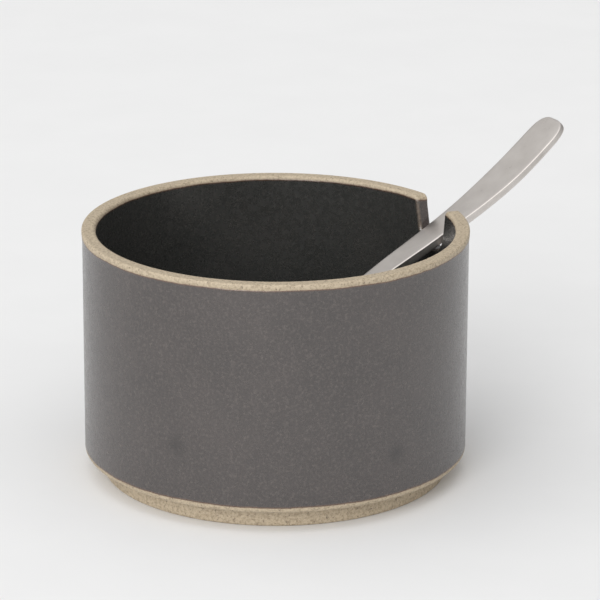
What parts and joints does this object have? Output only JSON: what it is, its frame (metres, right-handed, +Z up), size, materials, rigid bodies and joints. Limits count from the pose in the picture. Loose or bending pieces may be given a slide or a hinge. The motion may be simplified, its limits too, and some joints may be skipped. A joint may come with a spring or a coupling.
{
  "type": "sugar bowl",
  "caption": "Straight-sided stoneware sugar bowl, dark satin glaze over a bare clay rim and foot, with a spoon leaning in a notch cut in its rim.",
  "frame": {"origin": "centre of the foot's flat underside, on the bowl's upright axis", "axes": "+Z up the bowl's axis, +X from the axis towards the notch and the spoon's handle"},
  "size_m": [0.1144, 0.0852, 0.0714],
  "materials": {
    "glazed_stoneware": "satin dark grey glaze, bare beige clay on the rim and the foot",
    "spoon_steel": "satin stainless steel"
  },
  "bodies": {
    "bowl": {"bowl": "glazed_stoneware"},
    "spoon": {"spoon": "spoon_steel"}
  },
  "joints": [
    {"name": "spoon_lift", "type": "slide", "parent": "bowl", "child": "spoon", "axis": [0, 0, 1], "range_m": [0, 0.06]}
  ]
}
